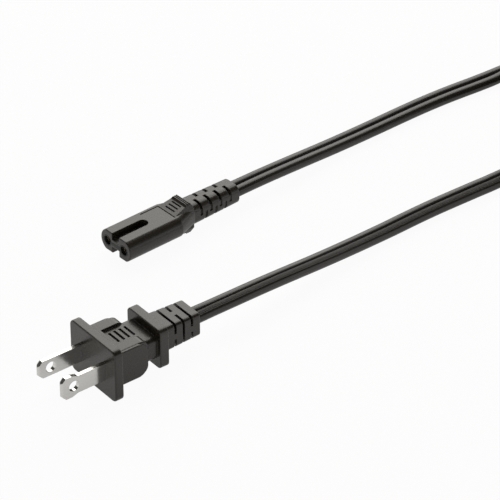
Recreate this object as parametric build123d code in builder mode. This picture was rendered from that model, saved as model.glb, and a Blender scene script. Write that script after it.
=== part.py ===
# Mains power cord: a polarised two-blade wall plug and a figure-eight appliance connector,
# moulded on the two ends of one flat twin flex. The cord lies on a table, with the length
# that is not in use wound into a tied coil.
import os
from math import cos, radians, sin, sqrt, tan

from build123d import *

os.makedirs("parts", exist_ok=True)

# Flat twin flex: two insulated cores side by side, joined by a web
core_diameter = 3.9
core_pitch = 3.7
web_thickness = 1.5
lead_diameter = 3.2
strand_diameter = 2.2

# Plug blades, measured from the plug's face
blade_pitch = 12.7
blade_thickness = 1.5
blade_width = 6.35
wide_blade_width = 7.94
blade_length = 16.8
wide_tip_length = 3.8
wide_tip_taper = 2.4
blade_tip_chamfer = 1.6
blade_tip_bevel = 0.45
blade_hole_diameter = 3.8
blade_hole_from_face = 12.1

# Plug insert and crimps, measured from the plug's face towards the flex
insert_width = 17.0
insert_height = 9.6
insert_corner = 1.2
insert_front = 1.2
insert_back = 5.0
blade_tail_width = 4.0
plug_crimp_start = 7.5
plug_crimp_length = 4.0
plug_crimp_wall = 0.6
bare_strand = 0.8
plug_split = 24.5

# Plug moulding, from its face towards the flex
flange_width = 24.5
flange_height = 19.4
flange_thickness = 3.2
flange_corner = 2.2
flange_edge = 0.5
grip_width = 18.6
grip_height = 12.6
grip_end = 15.0
grip_back_radius = 4.0
grip_edge = 0.4
pad_width = 17.2
pad_height = 12.9
pad_end = 15.6
pad_back_radius = 3.0
pad_edge = 0.6
finger_recess_width = 9.0
finger_recess_start = 6.5
finger_recess_depth = 1.0
finger_groove_length = 5.6
finger_groove_width = 0.8
finger_groove_depth = 0.7
finger_groove_pitch = 2.0
finger_groove_count = 4
finger_groove_first = 8.4
waist_width = 15.0
waist_height = 8.6
waist_corner = 2.2
collar_width = 17.9
collar_height = 15.0
collar_start = 19.9
collar_thickness = 3.5
collar_corner = 1.8
collar_edge = 0.4
plug_relief_end = 38.5
plug_relief_root = (11.6, 9.5)
plug_relief_tip = (10.6, 8.8)
plug_relief_corner = 1.5
relief_edge = 0.4
plug_slot_first = 27.9
plug_slot_pitch = 3.35
plug_slot_width = 0.9
plug_slot_count = 3
slot_bridge = 2.2
slot_skin = 0.25

# Connector contacts and carrier, measured from the connector's face towards the flex
socket_pitch = 8.6
socket_bore = 2.44
contact_wall = 0.33
contact_slit = 0.5
contact_front = 1.2
contact_end = 13.0
contact_tail_width = 1.4
contact_crimp_start = 15.5
contact_crimp_length = 4.0
socket_entry_diameter = 3.3
carrier_tube_diameter = 4.3
carrier_web = 1.1
carrier_end = 15.5
connector_split = 31.0

# Connector moulding, from its face towards the flex
nose_width = 15.7
nose_height = 7.9
nose_lobe_radius = 4.3
nose_side_flat = 0.1
nose_end = 23.0
nose_edge = 0.4
waist_groove_width = 3.8
waist_groove_length = 13.7
waist_web = 2.7
label_width = 9.2
label_start = 14.4
label_end = 22.3
label_line_width = 0.4
label_line_depth = 0.3
shoulder_end = 31.0
thumb_root_width = 8.8
thumb_top_width = 7.0
thumb_height = 11.8
thumb_ramp_start = 22.6
thumb_step_start = 27.3
thumb_step_height = 10.4
thumb_top_start = 28.0
thumb_top_end = 29.7
thumb_end = 30.7
thumb_groove_first = 23.8
thumb_groove_pitch = 1.4
thumb_groove_count = 3
thumb_groove_length = 4.6
thumb_groove_width = 0.5
thumb_groove_depth = 0.45
thumb_tooth_first = 28.5
thumb_tooth_pitch = 0.7
thumb_tooth_count = 2
thumb_tooth_gap = 0.35
connector_relief_end = 51.3
connector_relief_root = (9.2, 8.0)
connector_relief_tip = (8.7, 7.4)
connector_relief_corner = 2.8
side_slot_first = 33.4
side_slot_pitch = 4.35
side_slot_width = 1.15
near_slot_count = 4
far_slot_count = 3
spine_width = 0.9
side_slot_drop = 0.5

# Where the two ends lie on the table
plug_x = 24.62
plug_y = -40.59
connector_x = -27.81
connector_y = 5.92
connector_yaw = 3.26

# Coil of the spare length, and its tie
coil_x = 2.6
coil_y = 216.4
coil_outer_radius = 42.75
coil_radial_build = 17.1
coil_layers = 2
coil_stub_length = 24.5
plug_stub_turn = -20.0
plug_stub_lead_in = 7.0
connector_stub_lead_in = 13.5
tie_width = 9.0
tie_thickness = 0.8

# How far the flex goes straight on from each end, and the share of a run that a bend takes
plug_lead_out = 11.5
connector_lead_out = 6.7
bend_share = 0.45
floor_clearance = 0.02

flex_width = core_pitch + core_diameter
flex_thickness = core_diameter
plug_lead_start = plug_crimp_start + plug_crimp_length + bare_strand
contact_lead_start = contact_crimp_start + contact_crimp_length + bare_strand
contact_radius = socket_bore / 2 + contact_wall
relief_core = (flex_width + 2 * slot_skin, flex_thickness + 2 * slot_skin)
plug_lying = Pos(plug_x, plug_y, flange_height / 2) * Rot(X=-90)
connector_lying = Pos(connector_x, connector_y, thumb_height / 2) * Rot(Z=connector_yaw) * Rot(X=-90)


# Both ends are built standing on their mating face: X across, Z along the axis to the flex

def write_piece(piece, name, place=Location()):
    """Lays a finished piece in its place on the table and writes it to its own file."""
    placed = place * piece.part
    placed.label = name
    export_step(placed, f"parts/{name}.step")


def flex_section(plane):
    """Two round cores side by side, with the web between them."""
    with BuildSketch(plane) as section:
        with Locations((-core_pitch / 2, 0), (core_pitch / 2, 0)):
            Circle(core_diameter / 2)
        Rectangle(core_pitch, web_thickness)
    return section.sketch


def insulated_lead(start_x, start, split):
    """One core of the flex, from its own end of the split to the crimp at start_x."""
    side = 1 if start_x > 0 else -1
    end_x = side * core_pitch / 2
    straight = lead_diameter / 4
    with BuildPart() as lead:
        with BuildLine(Plane.XZ) as path:
            FilletPolyline(
                (start_x, start),
                (start_x, start + straight),
                (end_x, split - straight),
                (end_x, split),
                radius=lead_diameter,
            )
        with BuildSketch(Plane.XY.offset(start)):
            with Locations((start_x, 0)):
                Circle(lead_diameter / 2)
        sweep(path=path.line)
    return lead


def copper_strands(at_x, start, end):
    """The bared wire end that a crimp holds."""
    with BuildPart() as strands:
        with BuildSketch(Plane.XY.offset(start)):
            with Locations((at_x, 0)):
                Circle(strand_diameter / 2)
        extrude(amount=end - start)
    return strands


# Plug blades

def blade(at_x, tip_width):
    """Flat blade with a chamfered tip, a detent hole, a tail and an open crimp barrel."""
    half = blade_width / 2
    tip_half = tip_width / 2
    with BuildPart() as piece:
        with BuildSketch(Plane.YZ.offset(at_x)):
            with BuildLine():
                Polyline(
                    (0, -blade_length),
                    (tip_half - blade_tip_chamfer, -blade_length),
                    (tip_half, -blade_length + blade_tip_chamfer),
                    (tip_half, -blade_length + wide_tip_length),
                    (half, -blade_length + wide_tip_length + wide_tip_taper),
                    (half, insert_back),
                    (blade_tail_width / 2, insert_back),
                    (blade_tail_width / 2, plug_crimp_start),
                    (0, plug_crimp_start),
                )
                mirror(about=Plane.YZ)
            make_face()
            with Locations((0, -blade_hole_from_face)):
                Circle(blade_hole_diameter / 2, mode=Mode.SUBTRACT)
        extrude(amount=blade_thickness / 2, both=True)
        tip = piece.faces().sort_by(Axis.Z)[0]
        chamfer(tip.edges().filter_by(Axis.Y), length=blade_tip_bevel)
        with BuildSketch(Plane.XY.offset(plug_crimp_start)):
            with Locations((at_x, 0)):
                Circle(strand_diameter / 2 + plug_crimp_wall)
                Circle(strand_diameter / 2, mode=Mode.SUBTRACT)
            with Locations((at_x, strand_diameter / 2)):
                Rectangle(contact_slit, 2 * plug_crimp_wall, mode=Mode.SUBTRACT)
        extrude(amount=plug_crimp_length)
    return piece


narrow_blade = blade(-blade_pitch / 2, blade_width)
wide_blade = blade(blade_pitch / 2, wide_blade_width)
plug_leads = [insulated_lead(x, plug_lead_start, plug_split) for x in (-blade_pitch / 2, blade_pitch / 2)]
plug_strands = [copper_strands(x, plug_crimp_start, plug_lead_start) for x in (-blade_pitch / 2, blade_pitch / 2)]

# Plug insert that sets the blades before the plug is moulded round them
with BuildPart() as plug_insert:
    with BuildSketch(Plane.XY.offset(insert_front)):
        RectangleRounded(insert_width, insert_height, insert_corner)
    extrude(amount=insert_back - insert_front)
    for piece in (narrow_blade, wide_blade):
        add(piece.part, mode=Mode.SUBTRACT)

# Parts of the plug moulding that have rounded edges of their own
with BuildPart() as plug_flange:
    with BuildSketch():
        RectangleRounded(flange_width, flange_height, flange_corner)
    extrude(amount=flange_thickness)
    fillet(plug_flange.faces().filter_by(Axis.Z).edges(), flange_edge)

with BuildPart() as plug_grip:
    with BuildSketch(Plane.YZ) as grip_side:
        with Locations((0, flange_thickness - flange_edge)):
            Rectangle(grip_height, grip_end - flange_thickness + flange_edge, align=(Align.CENTER, Align.MIN))
        fillet(grip_side.vertices().group_by(Axis.Y)[-1], grip_back_radius)
    extrude(amount=grip_width / 2, both=True)
    fillet(plug_grip.faces().filter_by(Axis.X).edges(), grip_edge)

with BuildPart() as plug_pads:
    with BuildSketch(Plane.YZ) as pad_side:
        with Locations((0, flange_thickness - flange_edge)):
            Rectangle(pad_height, pad_end - flange_thickness + flange_edge, align=(Align.CENTER, Align.MIN))
        fillet(pad_side.vertices().group_by(Axis.Y)[-1], pad_back_radius)
    extrude(amount=pad_width / 2, both=True)
    fillet(plug_pads.faces().filter_by(Axis.X).edges(), pad_edge)

with BuildPart() as plug_collar:
    with BuildSketch(Plane.XY.offset(collar_start)):
        RectangleRounded(collar_width, collar_height, collar_corner)
    extrude(amount=collar_thickness)
    fillet(plug_collar.faces().filter_by(Axis.Z).edges(), collar_edge)

with BuildPart() as plug_relief:
    with BuildSketch(Plane.XY.offset(collar_start + collar_thickness / 2)):
        RectangleRounded(*plug_relief_root, plug_relief_corner)
    with BuildSketch(Plane.XY.offset(plug_relief_end)):
        RectangleRounded(*plug_relief_tip, plug_relief_corner)
    loft()
    fillet(plug_relief.faces().sort_by(Axis.Z)[-1].edges(), relief_edge)

# Plug moulding: flange, finger grip, waist, collar and slotted strain relief in one piece
with BuildPart() as plug_body:
    for piece in (plug_flange, plug_grip, plug_pads, plug_collar, plug_relief):
        add(piece.part)
    with BuildSketch(Plane.XY.offset(grip_end - grip_back_radius)):
        RectangleRounded(waist_width, waist_height, waist_corner)
    extrude(amount=collar_start - grip_end + grip_back_radius + collar_edge)

    # Finger recess with cross grooves, above and below
    for side in (1, -1):
        with BuildSketch(Plane.YZ):
            recess_floor = pad_height / 2 - finger_recess_depth
            with Locations((side * recess_floor, finger_recess_start)):
                Rectangle(2 * finger_recess_depth, pad_end - finger_recess_start,
                          align=(Align.MIN if side > 0 else Align.MAX, Align.MIN))
        extrude(amount=finger_recess_width / 2, both=True, mode=Mode.SUBTRACT)
        with BuildSketch(Plane.YZ):
            for index in range(finger_groove_count):
                with Locations((side * recess_floor, finger_groove_first + index * finger_groove_pitch)):
                    Rectangle(2 * finger_groove_depth, finger_groove_width)
        extrude(amount=finger_groove_length / 2, both=True, mode=Mode.SUBTRACT)

    # Slots round the relief: bridged at the sides, then above and below, then at the sides
    for index in range(plug_slot_count):
        with BuildSketch(Plane.XY.offset(plug_slot_first + index * plug_slot_pitch)):
            Rectangle(2 * plug_relief_root[0], 2 * plug_relief_root[1])
            RectangleRounded(*relief_core, relief_core[1] / 4, mode=Mode.SUBTRACT)
            if index % 2:
                Rectangle(slot_bridge, 2 * plug_relief_root[1], mode=Mode.SUBTRACT)
            else:
                Rectangle(2 * plug_relief_root[0], slot_bridge, mode=Mode.SUBTRACT)
        extrude(amount=plug_slot_width, mode=Mode.SUBTRACT)

    # Room for what is moulded in
    extrude(flex_section(Plane.XY.offset(plug_split)), amount=plug_relief_end - plug_split, mode=Mode.SUBTRACT)
    for piece in (plug_insert, narrow_blade, wide_blade, *plug_leads, *plug_strands):
        add(piece.part, mode=Mode.SUBTRACT)


# Connector contacts

def contact(at_x):
    """Split sleeve that grips a round pin, with a tail and a crimp barrel behind it."""
    with BuildPart() as piece:
        with BuildSketch(Plane.XY.offset(contact_front)):
            with Locations((at_x, 0)):
                Circle(contact_radius)
                Circle(socket_bore / 2, mode=Mode.SUBTRACT)
            with Locations((at_x, socket_bore / 2)):
                Rectangle(contact_slit, 4 * contact_wall, mode=Mode.SUBTRACT)
        extrude(amount=contact_end - contact_front)
        with BuildSketch(Plane.XY.offset(contact_end)):
            with Locations((at_x, 0)):
                Circle(contact_radius)
            with Locations((at_x, -socket_bore / 2)):
                Rectangle(contact_tail_width, 2 * contact_wall, align=(Align.CENTER, Align.MAX), mode=Mode.INTERSECT)
        extrude(amount=contact_crimp_start - contact_end)
        with BuildSketch(Plane.XY.offset(contact_crimp_start)):
            with Locations((at_x, 0)):
                Circle(contact_radius)
                Circle(strand_diameter / 2, mode=Mode.SUBTRACT)
            with Locations((at_x, contact_radius)):
                Rectangle(contact_slit, 4 * contact_wall, mode=Mode.SUBTRACT)
        extrude(amount=contact_crimp_length)
    return piece


socket_places = (-socket_pitch / 2, socket_pitch / 2)
contacts = [contact(x) for x in socket_places]
connector_leads = [insulated_lead(x, contact_lead_start, connector_split) for x in socket_places]
connector_strands = [copper_strands(x, contact_crimp_start, contact_lead_start) for x in socket_places]

# Carrier that holds the contacts before the connector is moulded round them
with BuildPart() as contact_carrier:
    with BuildSketch():
        with Locations(*[(x, 0) for x in socket_places]):
            Circle(carrier_tube_diameter / 2)
        Rectangle(socket_pitch, carrier_web)
    extrude(amount=carrier_end)
    with BuildSketch():
        with Locations(*[(x, 0) for x in socket_places]):
            Circle(socket_entry_diameter / 2)
    extrude(amount=contact_front, mode=Mode.SUBTRACT)
    with BuildSketch(Plane.XY.offset(contact_front)):
        with Locations(*[(x, 0) for x in socket_places]):
            Circle(contact_radius)
    extrude(amount=carrier_end - contact_front, mode=Mode.SUBTRACT)

# Thumb ridges above and below the connector: a ramp, a step and a toothed top, with sloping sides
with BuildPart() as thumb_ridges:
    with BuildSketch(Plane.YZ):
        with BuildLine():
            Polyline(
                (0, thumb_ramp_start),
                (nose_height / 2, thumb_ramp_start),
                (thumb_step_height / 2, thumb_step_start),
                (thumb_height / 2, thumb_top_start),
                (thumb_height / 2, thumb_top_end),
                (connector_relief_root[1] / 2, thumb_end),
                (0, thumb_end),
            )
            mirror(about=Plane.YZ)
        make_face()
    extrude(amount=thumb_root_width / 2, both=True)
    with BuildSketch(Plane.XY.offset(thumb_ramp_start)):
        with BuildLine():
            Polyline(
                (0, thumb_height / 2),
                (thumb_top_width / 2, thumb_height / 2),
                (thumb_root_width / 2, nose_height / 2),
                (thumb_root_width / 2, 0),
            )
            mirror(about=Plane.YZ)
            mirror(about=Plane.XZ)
        make_face()
    extrude(amount=thumb_end - thumb_ramp_start, mode=Mode.INTERSECT)

# Connector moulding: nose, thumb ridges and slotted strain relief in one piece
with BuildPart() as connector_body:
    nose_corner = nose_lobe_radius - nose_side_flat / 2
    with BuildSketch() as nose_front:
        RectangleRounded(nose_width, 2 * nose_lobe_radius, nose_corner)
        Rectangle(nose_width, nose_height, mode=Mode.INTERSECT)
    extrude(amount=nose_end)
    fillet(connector_body.faces().sort_by(Axis.Z)[0].edges(), nose_edge)

    # Shoulder that narrows to the strain relief
    with BuildSketch(Plane.XY.offset(nose_end)):
        add(nose_front.sketch)
    with BuildSketch(Plane.XY.offset(shoulder_end)):
        RectangleRounded(*connector_relief_root, connector_relief_corner)
    loft()
    with BuildSketch(Plane.XY.offset(shoulder_end)):
        RectangleRounded(*connector_relief_root, connector_relief_corner)
    with BuildSketch(Plane.XY.offset(connector_relief_end)):
        RectangleRounded(*connector_relief_tip, connector_relief_corner)
    loft()
    fillet(connector_body.faces().sort_by(Axis.Z)[-1].edges(), relief_edge)
    add(thumb_ridges.part)

    # Cross grooves in the ramps, and teeth across the tops
    ramp_rise = (thumb_step_height - nose_height) / 2
    ramp_slope = ramp_rise / (thumb_step_start - thumb_ramp_start)
    for side in (1, -1):
        with BuildSketch(Plane.YZ):
            for index in range(thumb_groove_count):
                along = thumb_groove_first + index * thumb_groove_pitch
                ramp_y = nose_height / 2 + ramp_slope * (along - thumb_ramp_start)
                with Locations((side * ramp_y, along)):
                    Rectangle(2 * thumb_groove_depth, thumb_groove_width)
        extrude(amount=thumb_groove_length / 2, both=True, mode=Mode.SUBTRACT)
        with BuildSketch(Plane.YZ):
            for index in range(thumb_tooth_count):
                with Locations((side * thumb_height / 2, thumb_tooth_first + index * thumb_tooth_pitch)):
                    Rectangle(2 * thumb_groove_depth, thumb_tooth_gap)
        extrude(amount=thumb_root_width / 2, both=True, mode=Mode.SUBTRACT)

    # Waist grooves that make the figure eight, and the lines along two sides of the bare label place
    for side in (1, -1):
        with BuildSketch(Plane.XZ.offset(side * waist_web / 2)):
            with Locations((0, waist_groove_length - waist_groove_width / 2)):
                Circle(waist_groove_width / 2)
            Rectangle(waist_groove_width, waist_groove_length - waist_groove_width / 2,
                      align=(Align.CENTER, Align.MIN))
        extrude(amount=side * nose_height, mode=Mode.SUBTRACT)
    with BuildSketch(Plane.XZ.offset(nose_height / 2 - label_line_depth)):
        with Locations((-label_width / 2, label_start)):
            Rectangle(label_line_width, label_end - label_start, align=(Align.MIN, Align.MIN))
        with Locations((0, label_end)):
            Rectangle(label_width, label_line_width, align=(Align.CENTER, Align.MAX))
    extrude(amount=nose_height, mode=Mode.SUBTRACT)

    # Slots round opposite quarters of the relief, staggered, with spines left between them
    for side, count, first in (
        (1, near_slot_count, side_slot_first),
        (-1, far_slot_count, side_slot_first + side_slot_pitch / 2),
    ):
        for index in range(count):
            with BuildSketch(Plane.XY.offset(first + index * side_slot_pitch)):
                with Locations((side * spine_width / 2, side_slot_drop)):
                    Rectangle(nose_width, nose_width, align=(Align.MIN if side > 0 else Align.MAX, Align.MAX))
                with Locations((-side * spine_width / 2, -side_slot_drop)):
                    Rectangle(nose_width, nose_width, align=(Align.MAX if side > 0 else Align.MIN, Align.MIN))
                RectangleRounded(*relief_core, relief_core[1] / 4, mode=Mode.SUBTRACT)
            extrude(amount=side_slot_width, mode=Mode.SUBTRACT)

    # Room for what is moulded in, and the open way to the contacts
    extrude(flex_section(Plane.XY.offset(connector_split)),
            amount=connector_relief_end - connector_split, mode=Mode.SUBTRACT)
    for piece in (contact_carrier, *contacts, *connector_leads, *connector_strands):
        add(piece.part, mode=Mode.SUBTRACT)
    with BuildSketch():
        with Locations(*[(x, 0) for x in socket_places]):
            Circle(socket_entry_diameter / 2)
    extrude(amount=contact_front, mode=Mode.SUBTRACT)
    with BuildSketch(Plane.XY.offset(contact_front)):
        with Locations(*[(x, 0) for x in socket_places]):
            Circle(contact_radius)
    extrude(amount=carrier_end - contact_front, mode=Mode.SUBTRACT)


# Flex: a flat run from each end to the coil

def bend_radii(route):
    """The largest bend at each point that its two runs leave room for."""
    radii = []
    for before, point, after in zip(route, route[1:], route[2:]):
        arriving = Vector(point) - Vector(before)
        leaving = Vector(after) - Vector(point)
        shorter = min(arriving.length, leaving.length)
        radii.append(bend_share * shorter / tan(radians(arriving.get_angle(leaving)) / 2))
    return radii


def flex_run(route, across):
    """The flat flex along its route, lying on its wide side."""
    radii = bend_radii(route)
    with BuildPart() as run:
        with BuildLine():
            path = FilletPolyline(*route, radius=radii)
        section = flex_section(Plane(origin=route[0], x_dir=across, z_dir=path % 0))
        sweep(section, path=path)
    print("bend radii", [round(radius) for radius in radii],
          "length", round(path.length, 1),
          "volume over section times length", round(run.part.volume / section.area / path.length, 4))
    return run


coil_turn_x = coil_outer_radius - flex_width / 2
coil_height = coil_layers * flex_width
stub_angle = radians(plug_stub_turn)
stub_direction = Vector(-sin(stub_angle), cos(stub_angle))
plug_stub_end = Vector(
    coil_x + coil_turn_x * cos(stub_angle) + coil_stub_length * sin(stub_angle),
    coil_y + coil_turn_x * sin(stub_angle) - coil_stub_length * cos(stub_angle),
    coil_height - flex_width / 2,
)
flex_rest = flex_thickness / 2 + floor_clearance
connector_stub_end = Vector(coil_x - coil_turn_x, coil_y - coil_stub_length, flex_rest)

plug_route = [
    (plug_lying * Pos(0, 0, plug_split)).position,
    (plug_lying * Pos(0, 0, plug_relief_end + plug_lead_out)).position,
    (23.0, 31.7, 8.3),
    (20.0, 55.7, 5.0),
    (17.0, 79.7, 2.4),
    (15.8, 104.7, flex_rest),
    (16.0, 121.7, flex_rest),
    (16.3, 135.7, 2.2),
    (19.7, 149.7, 5.3),
    (25.6, 165.4, 10.2),
    plug_stub_end - plug_stub_lead_in * stub_direction,
    plug_stub_end,
]
connector_route = [
    (connector_lying * Pos(0, 0, connector_split)).position,
    (connector_lying * Pos(0, 0, connector_relief_end + connector_lead_out)).position,
    (-32.7, 84.7, 4.8),
    (-35.3, 107.7, 2.6),
    (-36.9, 131.7, flex_rest),
    (-37.7, 156.7, flex_rest),
    connector_stub_end - Vector(0, connector_stub_lead_in),
    connector_stub_end,
]
across_connector = (cos(radians(connector_yaw)), sin(radians(connector_yaw)), 0)
cord_plug_run = flex_run(plug_route, (1, 0, 0))
cord_connector_run = flex_run(connector_route, across_connector)

# Coil: the outer shape of the turns, with a straight stub where each run joins it
coil_inner_radius = coil_outer_radius - coil_radial_build
coil_centre = Plane.XY.offset(0).move(Location((coil_x, coil_y, 0)))
tie_inner_y = sqrt(coil_inner_radius**2 - (tie_width / 2) ** 2)
with BuildPart() as cord_coil:
    with BuildSketch(coil_centre):
        Circle(coil_outer_radius)
        with Locations((-coil_outer_radius, 0)):
            Rectangle(flex_width, coil_stub_length, align=(Align.MIN, Align.MAX))
        Circle(coil_inner_radius, mode=Mode.SUBTRACT)
    extrude(amount=flex_width)
    with BuildSketch(coil_centre.offset(flex_width).rotated((0, 0, plug_stub_turn))):
        Circle(coil_outer_radius)
        with Locations((coil_outer_radius, 0)):
            Rectangle(flex_width, coil_stub_length, align=(Align.MAX, Align.MAX))
        Circle(coil_inner_radius, mode=Mode.SUBTRACT)
    extrude(amount=flex_width)
    with BuildSketch(coil_centre):
        with Locations((0, tie_inner_y)):
            Rectangle(tie_width, coil_outer_radius, align=(Align.CENTER, Align.MIN))
    extrude(amount=tie_thickness, mode=Mode.SUBTRACT)

# Tie: a strap round the bundle on the far side of the coil
with BuildPart() as coil_tie:
    with BuildSketch(Plane.YZ.offset(coil_x - tie_width / 2)):
        with Locations((coil_y + tie_inner_y - tie_thickness, 0)):
            Rectangle(coil_outer_radius - tie_inner_y + 2 * tie_thickness, coil_height + tie_thickness,
                      align=(Align.MIN, Align.MIN))
        with Locations((coil_y + tie_inner_y, tie_thickness)):
            Rectangle(coil_outer_radius - tie_inner_y, coil_height - tie_thickness,
                      align=(Align.MIN, Align.MIN), mode=Mode.SUBTRACT)
    extrude(amount=tie_width)

write_piece(plug_body, "plug_body", plug_lying)
write_piece(plug_insert, "plug_insert", plug_lying)
write_piece(narrow_blade, "narrow_blade", plug_lying)
write_piece(wide_blade, "wide_blade", plug_lying)
write_piece(connector_body, "connector_body", connector_lying)
write_piece(contact_carrier, "contact_carrier", connector_lying)
for side_name, plug_lead, strands, sleeve, lead, wire in zip(
    ("left", "right"), plug_leads, plug_strands, contacts, connector_leads, connector_strands
):
    write_piece(plug_lead, f"plug_lead_{side_name}", plug_lying)
    write_piece(strands, f"plug_strands_{side_name}", plug_lying)
    write_piece(sleeve, f"contact_{side_name}", connector_lying)
    write_piece(lead, f"connector_lead_{side_name}", connector_lying)
    write_piece(wire, f"connector_strands_{side_name}", connector_lying)
write_piece(cord_plug_run, "cord_plug_run")
write_piece(cord_connector_run, "cord_connector_run")
write_piece(cord_coil, "cord_coil")
write_piece(coil_tie, "coil_tie")
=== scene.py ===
"""Looks of a flat twin power cord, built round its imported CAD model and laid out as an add-on."""

import math

import bpy
import numpy as np
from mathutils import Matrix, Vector


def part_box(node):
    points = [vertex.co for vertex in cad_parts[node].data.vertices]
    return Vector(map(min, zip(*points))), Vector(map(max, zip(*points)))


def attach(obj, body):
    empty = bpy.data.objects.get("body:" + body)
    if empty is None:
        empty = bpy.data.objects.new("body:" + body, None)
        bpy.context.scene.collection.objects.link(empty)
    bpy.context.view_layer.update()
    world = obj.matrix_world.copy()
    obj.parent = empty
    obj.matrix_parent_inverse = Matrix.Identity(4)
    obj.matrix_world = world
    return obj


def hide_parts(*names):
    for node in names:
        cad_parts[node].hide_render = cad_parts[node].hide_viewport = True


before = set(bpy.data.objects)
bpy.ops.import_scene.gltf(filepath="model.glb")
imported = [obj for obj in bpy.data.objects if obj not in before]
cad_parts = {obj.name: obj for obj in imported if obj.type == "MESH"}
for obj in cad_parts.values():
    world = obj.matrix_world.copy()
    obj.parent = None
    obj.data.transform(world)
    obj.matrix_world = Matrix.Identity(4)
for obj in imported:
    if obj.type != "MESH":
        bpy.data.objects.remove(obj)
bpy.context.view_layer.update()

bl_info = {
    "name": "Power Cord Looks",
    "version": (1, 0, 0),
    "blender": (4, 5, 0),
    "location": "3D View > Sidebar > Power Cord",
    "description": "Finishes a flat twin power cord with its plug, connector and tied coil",
    "category": "Object",
}

MM = 0.001
PVC_IOR = 1.53

# Most of a noise pattern lies between these two values
NOISE_LOW, NOISE_HIGH = 0.3, 0.7

# The cord's route in mm: from the split in the plug to the coil,
# and from the split in the connector to the coil
PLUG_ROUTE = (
    (24.62, -16.09, 9.7),
    (24.62, 9.41, 9.7),
    (23.0, 31.7, 8.3),
    (20.0, 55.7, 5.0),
    (17.0, 79.7, 2.4),
    (15.8, 104.7, 1.97),
    (16.0, 121.7, 1.97),
    (16.3, 135.7, 2.2),
    (19.7, 149.7, 5.3),
    (25.6, 165.4, 10.2),
    (28.43, 173.48, 11.4),
    (30.82, 180.06, 11.4),
)
CONNECTOR_ROUTE = (
    (-29.57, 36.87, 5.9),
    (-31.11, 63.83, 5.9),
    (-32.7, 84.7, 4.8),
    (-35.3, 107.7, 2.6),
    (-36.9, 131.7, 1.97),
    (-37.7, 156.7, 1.97),
    (-36.35, 178.4, 1.97),
    (-36.35, 191.9, 1.97),
)
COIL_CENTRE = (2.6, 216.4)

# Stretches over which the flex tips on its side as it comes loose, lies flatter further along,
# and turns on edge for the coil, in metres from its end in the plug or in the connector
PLUG_TIP = (0.008, 0.019)
CONNECTOR_TIP = (0.014, 0.026)
FLATTER = (0.05, 0.15)
INTO_COIL = (0.158, 0.215)
OUT_OF_COIL = (0.1435, 0.1775)


def linear(hex_colour):
    """An sRGB hex colour as linear red, green and blue."""
    parts = np.array([int(hex_colour[i:i + 2], 16) for i in (1, 3, 5)]) / 255
    return tuple(np.where(parts <= 0.04045, parts / 12.92, ((parts + 0.055) / 1.055) ** 2.4))


class FlexSettings(bpy.types.PropertyGroup):
    """Sizes of the flat twin flex and its coil."""

    core_diameter: bpy.props.FloatProperty(
        name="Core diameter", description="Outside of one insulated core",
        default=3.9 * MM, unit="LENGTH")
    core_pitch: bpy.props.FloatProperty(
        name="Core pitch", description="Distance between the two cores",
        default=3.7 * MM, unit="LENGTH")
    web_thickness: bpy.props.FloatProperty(
        name="Web thickness", description="Vinyl left between the two grooves",
        default=1.5 * MM, unit="LENGTH")
    real_length: bpy.props.FloatProperty(
        name="Length", description="Real length of the flex",
        default=1.83, unit="LENGTH")
    plug_roll: bpy.props.FloatProperty(
        name="Roll by the plug", description="How far the flex tips on its side where it leaves the plug",
        default=math.radians(11.5), subtype="ANGLE")
    connector_roll: bpy.props.FloatProperty(
        name="Roll by the connector",
        description="How far the flex tips on its side where it leaves the connector",
        default=math.radians(5.5), subtype="ANGLE")
    roll_loss: bpy.props.FloatProperty(
        name="Roll lost", description="How much flatter the flex lies further along",
        default=math.radians(4.5), subtype="ANGLE")
    rib_count: bpy.props.IntProperty(
        name="Ribs", description="Fine ribs that mark the neutral core",
        default=6)
    rib_depth: bpy.props.FloatProperty(
        name="Rib depth", description="Depth of the furrows between the ribs",
        default=0.12 * MM, unit="LENGTH")
    coil_radius: bpy.props.FloatProperty(
        name="Coil radius", description="Middle of the coil's outer turn",
        default=40.8 * MM, unit="LENGTH")
    turn_pitch: bpy.props.FloatProperty(
        name="Turn pitch", description="Distance between neighbouring turns",
        default=4.0 * MM, unit="LENGTH")
    points_per_turn: bpy.props.IntProperty(
        name="Points per turn", description="Route points in each turn of the coil",
        default=16)


class TieSettings(bpy.types.PropertyGroup):
    """Sizes of the strap round the coil."""

    width: bpy.props.FloatProperty(
        name="Width", description="Width of the strap",
        default=9.0 * MM, unit="LENGTH")
    thickness: bpy.props.FloatProperty(
        name="Thickness", description="Thickness of the strap",
        default=0.8 * MM, unit="LENGTH")
    snugness: bpy.props.FloatProperty(
        name="Snugness", description="How far the strap is drawn in round the outside of the coil",
        default=1.0 * MM, unit="LENGTH")
    overlap: bpy.props.FloatProperty(
        name="Overlap", description="Share of a turn that the strap's end lies over its start",
        default=0.27)


class FinishSettings(bpy.types.PropertyGroup):
    """Colours of the cord's materials."""

    moulding: bpy.props.FloatVectorProperty(
        name="Moulding", description="Vinyl of the plug and connector",
        default=linear("#2d2820"), subtype="COLOR")
    flex: bpy.props.FloatVectorProperty(
        name="Flex", description="Vinyl of the flex",
        default=linear("#26221c"), subtype="COLOR")
    insert: bpy.props.FloatVectorProperty(
        name="Insert", description="Hard plastic round the contacts",
        default=linear("#191918"), subtype="COLOR")
    nickel: bpy.props.FloatVectorProperty(
        name="Nickel", description="Plating of the blades",
        default=linear("#d6d5d1"), subtype="COLOR")
    brass: bpy.props.FloatVectorProperty(
        name="Brass", description="Sleeves inside the connector",
        default=linear("#958764"), subtype="COLOR")
    copper: bpy.props.FloatVectorProperty(
        name="Copper", description="Bared wire in the crimps",
        default=linear("#c9825a"), subtype="COLOR")
    tie: bpy.props.FloatVectorProperty(
        name="Tie", description="Strap round the coil",
        default=linear("#2a2a2a"), subtype="COLOR")


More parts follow.
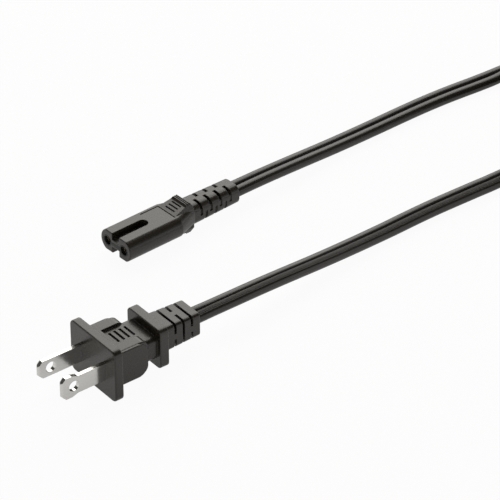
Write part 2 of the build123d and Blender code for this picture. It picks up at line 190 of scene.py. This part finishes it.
class StageSettings(bpy.types.PropertyGroup):
    """Camera, light and floor."""

    aim: bpy.props.FloatVectorProperty(
        name="Aim", description="Point in the middle of the picture",
        default=(6.21 * MM, 36.41 * MM, 9.7 * MM), subtype="XYZ", unit="LENGTH")
    distance: bpy.props.FloatProperty(
        name="Distance", description="From the camera to its aim",
        default=0.99465, unit="LENGTH")
    azimuth: bpy.props.FloatProperty(
        name="Azimuth", description="Camera's turn to the right of the plug's axis",
        default=math.radians(52.12), subtype="ANGLE")
    elevation: bpy.props.FloatProperty(
        name="Elevation", description="Camera's angle above the table",
        default=math.radians(34.44), subtype="ANGLE")
    lens: bpy.props.FloatProperty(
        name="Lens", description="Focal length on a 36 mm sensor, in mm",
        default=216.0)
    box_size: bpy.props.FloatProperty(
        name="Soft box", description="Side of the square soft light behind the table",
        default=1.4, unit="LENGTH")
    box_place: bpy.props.FloatVectorProperty(
        name="Soft box place", description="Middle of the soft light",
        default=(-0.73, 0.56, 0.92), subtype="XYZ", unit="LENGTH")
    box_strength: bpy.props.FloatProperty(
        name="Soft box strength", description="Brightness of the soft light's face, where 1 is white",
        default=2.7)
    box_colour: bpy.props.FloatVectorProperty(
        name="Soft box colour", description="Tint of the soft light",
        default=linear("#fffdf8"), subtype="COLOR")
    room: bpy.props.FloatProperty(
        name="Room", description="Brightness of the room above the white sweep, where 1 is white",
        default=0.05)
    floor: bpy.props.FloatVectorProperty(
        name="Floor", description="Colour of the table top",
        default=linear("#f4f4f4"), subtype="COLOR")


class CordLooks(bpy.types.PropertyGroup):
    """All settings of the power cord's looks."""

    flex: bpy.props.PointerProperty(type=FlexSettings)
    tie: bpy.props.PointerProperty(type=TieSettings)
    finish: bpy.props.PointerProperty(type=FinishSettings)
    stage: bpy.props.PointerProperty(type=StageSettings)


def add_node(tree, kind, inputs=None, **settings):
    """Adds a node, sets it, and fills or links its inputs."""
    made = tree.nodes.new(kind)
    for name, value in settings.items():
        setattr(made, name, value)
    for name, value in (inputs or {}).items():
        if isinstance(value, bpy.types.NodeSocket):
            tree.links.new(value, made.inputs[name])
        else:
            made.inputs[name].default_value = value
    return made


def new_material(name):
    """A material with an empty node tree, and its output."""
    material = bpy.data.materials.new(name)
    material.use_nodes = True
    tree = material.node_tree
    tree.nodes.clear()
    return material, tree, add_node(tree, "ShaderNodeOutputMaterial")


def dress(piece, material):
    """Puts one material on a whole piece."""
    piece.data.materials.clear()
    piece.data.materials.append(material)


def moulded_plastic(name, colour, smoothest, roughest):
    """Plastic moulded in a spark-eroded tool: an even satin skin with a very fine grain."""
    grain_size = 0.45 * MM
    grain_depth = 0.06 * MM
    grain_strength = 0.07
    cloud_size = 9.0 * MM
    cloud_contrast = 0.15
    edge_radius = 0.35 * MM
    material, tree, output = new_material(name)
    place = add_node(tree, "ShaderNodeTexCoord").outputs["Object"]
    # The real grain is about 0.1 mm and would vanish at this distance, so it is drawn coarser
    grain = add_node(tree, "ShaderNodeTexNoise", {"Vector": place, "Scale": 1 / grain_size, "Detail": 3.0})
    cloud = add_node(tree, "ShaderNodeTexNoise", {"Vector": place, "Scale": 1 / cloud_size, "Detail": 2.0})
    # Places of the Mix node's two colour inputs and of its colour output
    dark, light, mixed = 6, 7, 2
    shade = add_node(tree, "ShaderNodeMix", {
        0: cloud.outputs["Fac"],
        dark: (*[c * (1 - cloud_contrast) for c in colour], 1.0),
        light: (*[c * (1 + cloud_contrast) for c in colour], 1.0)}, data_type="RGBA")
    satin = add_node(tree, "ShaderNodeMapRange", {
        "Value": grain.outputs["Fac"], "From Min": NOISE_LOW, "From Max": NOISE_HIGH,
        "To Min": smoothest, "To Max": roughest})
    # No moulded edge is quite sharp: each is eased by a fraction of a millimetre
    eased = add_node(tree, "ShaderNodeBevel", {"Radius": edge_radius}, samples=6)
    relief = add_node(tree, "ShaderNodeBump", {
        "Height": grain.outputs["Fac"], "Strength": grain_strength, "Distance": grain_depth,
        "Normal": eased.outputs["Normal"]})
    skin = add_node(tree, "ShaderNodeBsdfPrincipled", {
        "Base Color": shade.outputs[mixed], "Roughness": satin.outputs["Result"],
        "Normal": relief.outputs["Normal"], "IOR": PVC_IOR})
    tree.links.new(skin.outputs["BSDF"], output.inputs["Surface"])
    return material


class POWERCORD_OT_mouldings(bpy.types.Operator):
    """Gives the plug and the connector their moulded vinyl"""

    bl_idname = "power_cord.finish_mouldings"
    bl_label = "Finish the Mouldings"

    def execute(self, context):
        finish = context.scene.power_cord.finish
        vinyl = moulded_plastic("moulded_black_vinyl", finish.moulding, smoothest=0.26, roughest=0.33)
        for name in ("plug_body", "connector_body"):
            dress(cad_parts[name], vinyl)
        return {"FINISHED"}


def rolled_metal(name, colour):
    """Metal rolled or drawn, bare or plated: bright but soft, with the lines of that work along it."""
    line_width = 0.16 * MM
    line_length = 14.0 * MM
    line_depth = 0.02 * MM
    line_strength = 0.06
    smoothest, roughest = 0.13, 0.22
    edge_radius = 0.25 * MM
    material, tree, output = new_material(name)
    place = add_node(tree, "ShaderNodeTexCoord").outputs["Object"]
    drawn = add_node(tree, "ShaderNodeMapping", {
        "Vector": place, "Scale": (1 / line_width, 1 / line_length, 1 / line_width)})
    lines = add_node(tree, "ShaderNodeTexNoise", {
        "Vector": drawn.outputs["Vector"], "Scale": 1.0, "Detail": 2.0})
    satin = add_node(tree, "ShaderNodeMapRange", {
        "Value": lines.outputs["Fac"], "From Min": NOISE_LOW, "From Max": NOISE_HIGH,
        "To Min": smoothest, "To Max": roughest})
    # Stamping and plating leave the edges slightly round
    eased = add_node(tree, "ShaderNodeBevel", {"Radius": edge_radius}, samples=6)
    relief = add_node(tree, "ShaderNodeBump", {
        "Height": lines.outputs["Fac"], "Strength": line_strength, "Distance": line_depth,
        "Normal": eased.outputs["Normal"]})
    metal = add_node(tree, "ShaderNodeBsdfPrincipled", {
        "Base Color": (*colour, 1.0), "Metallic": 1.0,
        "Roughness": satin.outputs["Result"], "Normal": relief.outputs["Normal"]})
    tree.links.new(metal.outputs["BSDF"], output.inputs["Surface"])
    return material


class POWERCORD_OT_blades(bpy.types.Operator):
    """Gives the plug's two blades their nickel plate"""

    bl_idname = "power_cord.finish_blades"
    bl_label = "Finish the Blades"

    def execute(self, context):
        nickel = rolled_metal("plated_nickel", context.scene.power_cord.finish.nickel)
        for name in ("narrow_blade", "wide_blade"):
            dress(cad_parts[name], nickel)
        return {"FINISHED"}


class POWERCORD_OT_inner_parts(bpy.types.Operator):
    """Gives the insert, carrier, leads, contacts and wire ends their finishes"""

    bl_idname = "power_cord.finish_inner_parts"
    bl_label = "Finish the Inner Parts"

    def execute(self, context):
        finish = context.scene.power_cord.finish
        hard = moulded_plastic("hard_black_plastic", finish.insert, smoothest=0.5, roughest=0.6)
        soft = moulded_plastic("core_insulation", finish.flex, smoothest=0.3, roughest=0.4)
        brass = rolled_metal("rolled_brass", finish.brass)
        copper = rolled_metal("drawn_copper", finish.copper)
        sides = ("left", "right")
        for node_name, material in (
            ("plug_insert", hard),
            ("contact_carrier", hard),
            *[(f"plug_lead_{side}", soft) for side in sides],
            *[(f"connector_lead_{side}", soft) for side in sides],
            *[(f"contact_{side}", brass) for side in sides],
            *[(f"plug_strands_{side}", copper) for side in sides],
            *[(f"connector_strands_{side}", copper) for side in sides],
        ):
            dress(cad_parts[node_name], material)
        return {"FINISHED"}


def extruded_plastic(name, colour, smoothest, roughest):
    """Vinyl or rubber drawn through a die: smooth, with faint lines along its length."""
    line_width = 0.35 * MM
    line_length = 30.0 * MM
    line_depth = 0.03 * MM
    line_strength = 0.1
    material, tree, output = new_material(name)
    place = add_node(tree, "ShaderNodeUVMap", uv_map="along").outputs["UV"]
    drawn = add_node(tree, "ShaderNodeMapping", {
        "Vector": place, "Scale": (1 / line_width, 1 / line_length, 1.0)})
    lines = add_node(tree, "ShaderNodeTexNoise", {
        "Vector": drawn.outputs["Vector"], "Scale": 1.0, "Detail": 2.0})
    satin = add_node(tree, "ShaderNodeMapRange", {
        "Value": lines.outputs["Fac"], "From Min": NOISE_LOW, "From Max": NOISE_HIGH,
        "To Min": smoothest, "To Max": roughest})
    relief = add_node(tree, "ShaderNodeBump", {
        "Height": lines.outputs["Fac"], "Strength": line_strength, "Distance": line_depth})
    skin = add_node(tree, "ShaderNodeBsdfPrincipled", {
        "Base Color": (*colour, 1.0), "Roughness": satin.outputs["Result"],
        "Normal": relief.outputs["Normal"], "IOR": PVC_IOR})
    tree.links.new(skin.outputs["BSDF"], output.inputs["Surface"])
    return material


def spline_points(control):
    """Points along the smooth line that a NURBS spline draws from its control points."""
    curve = bpy.data.curves.new("route", "CURVE")
    curve.dimensions = "3D"
    spline = curve.splines.new("NURBS")
    spline.points.add(len(control) - 1)
    spline.points.foreach_set("co", np.c_[control, np.ones(len(control))].ravel())
    spline.order_u = 3
    spline.use_endpoint_u = True
    spline.resolution_u = 6
    holder = bpy.data.objects.new("route", curve)
    bpy.context.scene.collection.objects.link(holder)
    drawn = bpy.data.meshes.new_from_object(holder)
    points = np.empty(len(drawn.vertices) * 3)
    drawn.vertices.foreach_get("co", points)
    bpy.data.objects.remove(holder)
    bpy.data.curves.remove(curve)
    bpy.data.meshes.remove(drawn)
    return points.reshape(-1, 3)


def ease(value, start, end):
    """A smooth step from 0 at start to 1 at end."""
    part = np.clip((value - start) / (end - start), 0, 1)
    return part * part * (3 - 2 * part)


def unit(vectors):
    """Vectors divided by their own lengths."""
    return vectors / np.linalg.norm(vectors, axis=1)[:, None]


def distances(points):
    """Distance of each point from the first, added up from point to point."""
    return np.concatenate([[0], np.cumsum(np.linalg.norm(np.diff(points, axis=0), axis=1))])


def girth(profile):
    """Distances round a closed profile, back to its first point."""
    return distances(np.concatenate([profile, profile[:1]]))


def carry(path, across, up, profile):
    """A profile carried along a path: each path point plus the profile's x across it and y up from it."""
    return path[:, None] + profile[None, :, :1] * across[:, None] + profile[None, :, 1:] * up[:, None]


def grid_mesh(name, grid, around, along):
    """A closed tube from a grid of points, with flat caps and a UV map in metres."""
    rows, columns = grid.shape[:2]
    mesh = bpy.data.meshes.new(name)
    row, column = np.meshgrid(np.arange(rows - 1), np.arange(columns), indexing="ij")
    beside = (column + 1) % columns
    quads = np.stack([
        row * columns + column, row * columns + beside,
        (row + 1) * columns + beside, (row + 1) * columns + column], axis=-1).reshape(-1, 4)
    caps = [list(range(columns))[::-1], list(range((rows - 1) * columns, rows * columns))]
    mesh.from_pydata(grid.reshape(-1, 3).tolist(), [], quads.tolist() + caps)
    layer = mesh.uv_layers.new(name="along")
    across_uv = np.stack([around[column], around[column + 1], around[column + 1], around[column]], axis=-1)
    along_uv = np.stack([along[row], along[row], along[row + 1], along[row + 1]], axis=-1)
    side_uv = np.stack([across_uv, along_uv], axis=-1).reshape(-1, 2)
    cap_uv = np.zeros((2 * columns, 2))
    layer.data.foreach_set("uv", np.concatenate([side_uv, cap_uv]).ravel())
    smooth = np.ones(len(mesh.polygons), dtype=bool)
    smooth[-2:] = False
    mesh.polygons.foreach_set("use_smooth", smooth)
    mesh.update()
    piece = bpy.data.objects.new(name, mesh)
    bpy.context.scene.collection.objects.link(piece)
    return piece


class POWERCORD_OT_flex(bpy.types.Operator):
    """Lays the flex from the plug through the coil to the connector"""

    bl_idname = "power_cord.lay_flex"
    bl_label = "Lay the Flex"

    def execute(self, context):
        looks = context.scene.power_cord
        flex = looks.flex
        radius = flex.core_diameter / 2
        half_pitch = flex.core_pitch / 2
        full_turn = 2 * math.pi

        # Coil: inwards on the upper layer, outwards on the lower one, both anticlockwise. Its radius falls
        # by one pitch for each turn from the nearer end, and its height steps down by one layer where it
        # crosses over in the middle. Angles are in radians
        first, last = math.radians(-20), math.radians(180 + 6 * 360)
        middle = (first + last) / 2
        half_crossing = 0.9
        step = full_turn / flex.points_per_turn
        turn = np.arange(first + step / 2, last, step)
        wound = np.minimum(turn - first, last - turn) / full_turn
        coil_r = (flex.coil_radius - flex.turn_pitch * wound) / math.cos(step / 2)
        lower = ease(turn, middle - half_crossing, middle + half_crossing)
        layer_height = 2 * (radius + half_pitch)
        coil_z = layer_height * (1.5 - lower)

        # It lies over the strap on a rise shaped like a bell: e to the power of minus the square of
        # the angle from the strap, over its spread
        strap_angle, strap_spread = math.pi / 2, 0.45
        strap_lift = looks.tie.thickness * 1.1
        from_strap = np.angle(np.exp(1j * (turn - strap_angle)))
        coil_z += strap_lift * np.exp(-(from_strap / strap_spread) ** 2)
        coil = np.stack([
            COIL_CENTRE[0] * MM + coil_r * np.cos(turn),
            COIL_CENTRE[1] * MM + coil_r * np.sin(turn), coil_z], axis=1)
        path = spline_points(np.concatenate([
            np.array(PLUG_ROUTE) * MM, coil, np.array(CONNECTOR_ROUTE)[::-1] * MM]))
        along = distances(path)
        back = along[-1] - along

        # Roll: slightly tipped where it lies loose, on edge in the coil, and turned over at the connector
        by_plug = flex.plug_roll * ease(along, *PLUG_TIP) - flex.roll_loss * ease(along, *FLATTER)
        by_connector = (
            flex.connector_roll * ease(back, *CONNECTOR_TIP) - flex.roll_loss * ease(back, *FLATTER))
        into_coil = ease(along, *INTO_COIL)
        out_of_coil = 1 - ease(back, *OUT_OF_COIL)
        edge = math.pi / 2
        roll = by_plug + (edge - by_plug) * into_coil + (edge - by_connector) * out_of_coil

        # Tipped, it stands higher: its lower core drops by half the pitch times the sine of the roll
        table_gap = 0.02 * MM
        lowest = radius + half_pitch * np.abs(np.sin(roll))
        path[:, 2] = np.maximum(path[:, 2], lowest + table_gap)
        ahead = unit(np.gradient(path, axis=0))
        level = unit(np.cross(ahead, (0, 0, 1)))
        upward = np.cross(level, ahead)
        cos_roll, sin_roll = np.cos(roll)[:, None], np.sin(roll)[:, None]
        across = level * cos_roll + upward * sin_roll
        up = upward * cos_roll - level * sin_roll

        # Profile: two round cores, each an arc from groove to groove, joined by the web. One face of
        # the neutral core is ribbed: its radius dips by the rib depth times half of one minus a cosine,
        # once for each rib
        open_angle = math.pi - math.asin(flex.web_thickness / 2 / radius)
        rib_start, rib_end = math.radians(45), math.radians(130)
        points_per_rib, points_below, points_above, points_live = 5, 17, 4, 17
        below = np.linspace(-open_angle, rib_start, points_below)[:-1]
        ribbed = np.linspace(rib_start, rib_end, points_per_rib * flex.rib_count + 1)
        above = np.linspace(rib_end, open_angle, points_above)[1:]
        wave = full_turn * flex.rib_count * (ribbed - rib_start) / (rib_end - rib_start)
        dip = np.concatenate([0 * below, 0.5 - 0.5 * np.cos(wave), 0 * above])
        neutral_arc = np.concatenate([below, ribbed, above])
        neutral_radius = radius - flex.rib_depth * dip
        live_arc = np.linspace(-open_angle, open_angle, points_live)
        neutral = np.stack([
            half_pitch + neutral_radius * np.cos(neutral_arc), neutral_radius * np.sin(neutral_arc)], axis=1)
        live = -np.stack([half_pitch + radius * np.cos(live_arc), radius * np.sin(live_arc)], axis=1)
        profile = np.concatenate([neutral, live])
        piece = grid_mesh("twin_flex", carry(path, across, up, profile), girth(profile), along)

        # The grooves stay crisp where the arcs meet the web
        ends = np.empty(len(piece.data.edges) * 2, dtype=np.int32)
        piece.data.edges.foreach_get("vertices", ends)
        corner = ends.reshape(-1, 2) % len(profile)
        groove_edges = (0, len(neutral) - 1, len(neutral), len(profile) - 1)
        crease = (corner[:, 0] == corner[:, 1]) & np.isin(corner[:, 0], groove_edges)
        piece.data.edges.foreach_set("use_edge_sharp", crease)

        # The ribs break the gloss of their face of the neutral core
        colour = looks.finish.flex
        dress(piece, extruded_plastic("extruded_black_vinyl", colour, smoothest=0.24, roughest=0.34))
        piece.data.materials.append(
            extruded_plastic("ribbed_black_vinyl", colour, smoothest=0.58, roughest=0.68))
        column = np.arange(len(piece.data.polygons)) % len(profile)
        on_ribs = (column >= len(below)) & (column < len(below) + len(ribbed) - 1)
        piece.data.polygons.foreach_set("material_index", on_ribs.astype(np.int32))
        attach(piece, "root")
        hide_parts("cord_plug_run", "cord_coil", "cord_connector_run")
        return {"FINISHED"}


class POWERCORD_OT_tie(bpy.types.Operator):
    """Straps the coil"""

    bl_idname = "power_cord.strap_coil"
    bl_label = "Strap the Coil"

    def execute(self, context):
        looks = context.scene.power_cord
        tie = looks.tie
        low, high = (np.array(corner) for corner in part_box("coil_tie"))
        high[1] -= tie.snugness
        half = (high - low) / 2
        centre = (high + low) / 2

        # A squarish loop round the bundle, whose end rises over its start and lies on it. Its reach at each
        # angle is that of a superellipse: one over the root of the summed powers of cosine and sine
        squareness = 7
        steps = 140
        full_turn = 2 * math.pi
        start = math.radians(-35)
        turn = np.linspace(0, full_turn * (1 + tie.overlap), steps)
        angle = start + turn
        lap_height = tie.thickness * 1.04
        rise = lap_height * ease(turn, 0.9 * full_turn, full_turn)
        reach_y = half[1] - tie.thickness / 2 + rise
        reach_z = half[2] - tie.thickness / 2 + rise
        cos_a, sin_a = np.cos(angle), np.sin(angle)
        round_off = (np.abs(cos_a) ** squareness + np.abs(sin_a) ** squareness) ** (-1 / squareness)
        path = np.stack([
            np.full_like(angle, centre[0]),
            centre[1] + reach_y * cos_a * round_off,
            centre[2] + tie.thickness / 2 + reach_z * sin_a * round_off], axis=1)
        ahead = unit(np.gradient(path, axis=0))
        across = np.tile((1.0, 0.0, 0.0), (len(path), 1))
        up = np.cross(across, ahead)

        # Profile: a flat band with rounded edges, as low powers of a cosine across it and a sine up from it
        points = 24
        width_power, thickness_power = 0.25, 0.6
        corner = np.linspace(0, full_turn, points, endpoint=False) + math.pi / points
        cos_c, sin_c = np.cos(corner), np.sin(corner)
        profile = np.stack([
            tie.width / 2 * np.sign(cos_c) * np.abs(cos_c) ** width_power,
            tie.thickness / 2 * np.sign(sin_c) * np.abs(sin_c) ** thickness_power], axis=1)
        grid = carry(path, across, -up, profile)[:, ::-1]
        piece = grid_mesh("coil_strap", grid, girth(profile), distances(path))
        dress(piece, extruded_plastic("strap_rubber", looks.finish.tie, smoothest=0.5, roughest=0.62))
        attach(piece, "root")
        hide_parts("coil_tie")
        return {"FINISHED"}


class POWERCORD_OT_stage(bpy.types.Operator):
    """Sets the table top, the light and the camera"""

    bl_idname = "power_cord.set_stage"
    bl_label = "Set the Stage"

    def execute(self, context):
        stage = context.scene.power_cord.stage
        scene = context.scene
        scene.view_settings.view_transform = "Standard"

        # Table top: white to the camera and to reflections, still darker in the cord's shadow
        half = 6.0
        seen_white, reflected_white = 0.95, 0.54
        corners = [(-half, -half, 0), (half, -half, 0), (half, half, 0), (-half, half, 0)]
        mesh = bpy.data.meshes.new("table_top")
        mesh.from_pydata(corners, [], [(0, 1, 2, 3)])
        table = bpy.data.objects.new("table_top", mesh)
        scene.collection.objects.link(table)
        material, tree, output = new_material("pale_table")
        rays = add_node(tree, "ShaderNodeLightPath").outputs
        seen = add_node(tree, "ShaderNodeMath", {0: rays["Is Camera Ray"], 1: rays["Is Glossy Ray"]},
                        operation="MAXIMUM")
        seen = add_node(tree, "ShaderNodeMath", {0: seen.outputs[0], 1: rays["Is Transmission Ray"]},
                        operation="MAXIMUM")
        share = add_node(tree, "ShaderNodeMath", {0: seen.outputs[0], 1: reflected_white},
                         operation="MULTIPLY")
        share = add_node(tree, "ShaderNodeMath", {
            0: rays["Is Camera Ray"], 1: seen_white - reflected_white, 2: share.outputs[0]},
            operation="MULTIPLY_ADD")
        matt = add_node(tree, "ShaderNodeBsdfDiffuse", {"Color": (*stage.floor, 1.0)})
        white = add_node(tree, "ShaderNodeEmission", {"Color": (1, 1, 1, 1), "Strength": 1.0})
        blend = add_node(tree, "ShaderNodeMixShader", {
            0: share.outputs[0], 1: matt.outputs[0], 2: white.outputs[0]})
        tree.links.new(blend.outputs[0], output.inputs["Surface"])
        dress(table, material)

        # Room: a white sweep round the horizon, dim above. Heights are sines of the angle above the table
        sweep_end, room_start = 0.2, 0.4
        world = bpy.data.worlds.new("soft_room")
        scene.world = world
        world.use_nodes = True
        tree = world.node_tree
        tree.nodes.clear()
        way = add_node(tree, "ShaderNodeTexCoord").outputs["Generated"]
        height = add_node(tree, "ShaderNodeSeparateXYZ", {0: way}).outputs["Z"]
        bright = add_node(tree, "ShaderNodeMapRange", {
            "Value": height, "From Min": sweep_end, "From Max": room_start,
            "To Min": 1.0, "To Max": stage.room}, interpolation_type="SMOOTHSTEP")
        sky = add_node(tree, "ShaderNodeBackground", {
            "Color": (1, 1, 1, 1), "Strength": bright.outputs["Result"]})
        add_node(tree, "ShaderNodeOutputWorld", {"Surface": sky.outputs[0]})

        # Soft box, whose power is its brightness times pi times its area
        lamp = bpy.data.lights.new("soft_box", "AREA")
        lamp.shape = "SQUARE"
        lamp.size = stage.box_size
        lamp.color = stage.box_colour
        lamp.energy = stage.box_strength * math.pi * stage.box_size ** 2
        holder = bpy.data.objects.new("soft_box", lamp)
        holder.location = stage.box_place
        holder.rotation_euler = (Vector(stage.aim) - holder.location).to_track_quat("-Z", "Y").to_euler()
        holder.visible_camera = False
        scene.collection.objects.link(holder)

        # Camera, looking at its aim from its distance along the line that the two angles give
        data = bpy.data.cameras.new("camera")
        data.lens = stage.lens
        data.sensor_width = 36.0
        camera = bpy.data.objects.new("camera", data)
        look = Vector((
            -math.sin(stage.azimuth) * math.cos(stage.elevation),
            math.cos(stage.azimuth) * math.cos(stage.elevation),
            -math.sin(stage.elevation)))
        camera.location = Vector(stage.aim) - look * stage.distance
        camera.rotation_euler = look.to_track_quat("-Z", "Y").to_euler()
        scene.collection.objects.link(camera)
        scene.camera = camera
        return {"FINISHED"}


class POWERCORD_PT_looks(bpy.types.Panel):
    """The power cord's pieces and settings"""

    bl_idname = "POWERCORD_PT_looks"
    bl_label = "Power Cord"
    bl_space_type = "VIEW_3D"
    bl_region_type = "UI"
    bl_category = "Power Cord"

    def draw(self, context):
        looks = context.scene.power_cord
        for operator, settings in PANEL_ROWS:
            box = self.layout.box()
            box.operator(operator.bl_idname)
            if settings:
                group = getattr(looks, settings)
                for name in group.__annotations__:
                    box.prop(group, name)


PANEL_ROWS = (
    (POWERCORD_OT_mouldings, "finish"),
    (POWERCORD_OT_blades, None),
    (POWERCORD_OT_inner_parts, None),
    (POWERCORD_OT_tie, "tie"),
    (POWERCORD_OT_flex, "flex"),
    (POWERCORD_OT_stage, "stage"),
)
CLASSES = (
    FlexSettings, TieSettings, FinishSettings, StageSettings, CordLooks,
    *[operator for operator, settings in PANEL_ROWS], POWERCORD_PT_looks,
)


def register():
    """Registers the classes and hangs the settings on the scene."""
    for kind in CLASSES:
        bpy.utils.register_class(kind)
    bpy.types.Scene.power_cord = bpy.props.PointerProperty(type=CordLooks)


def unregister():
    """Takes back what register did."""
    del bpy.types.Scene.power_cord
    for kind in reversed(CLASSES):
        bpy.utils.unregister_class(kind)


def main():
    """Builds the looks in order."""
    register()
    bpy.ops.power_cord.finish_mouldings()
    bpy.ops.power_cord.finish_blades()
    bpy.ops.power_cord.finish_inner_parts()
    bpy.ops.power_cord.strap_coil()
    bpy.ops.power_cord.lay_flex()
    bpy.ops.power_cord.set_stage()


if __name__ == "__main__":
    main()
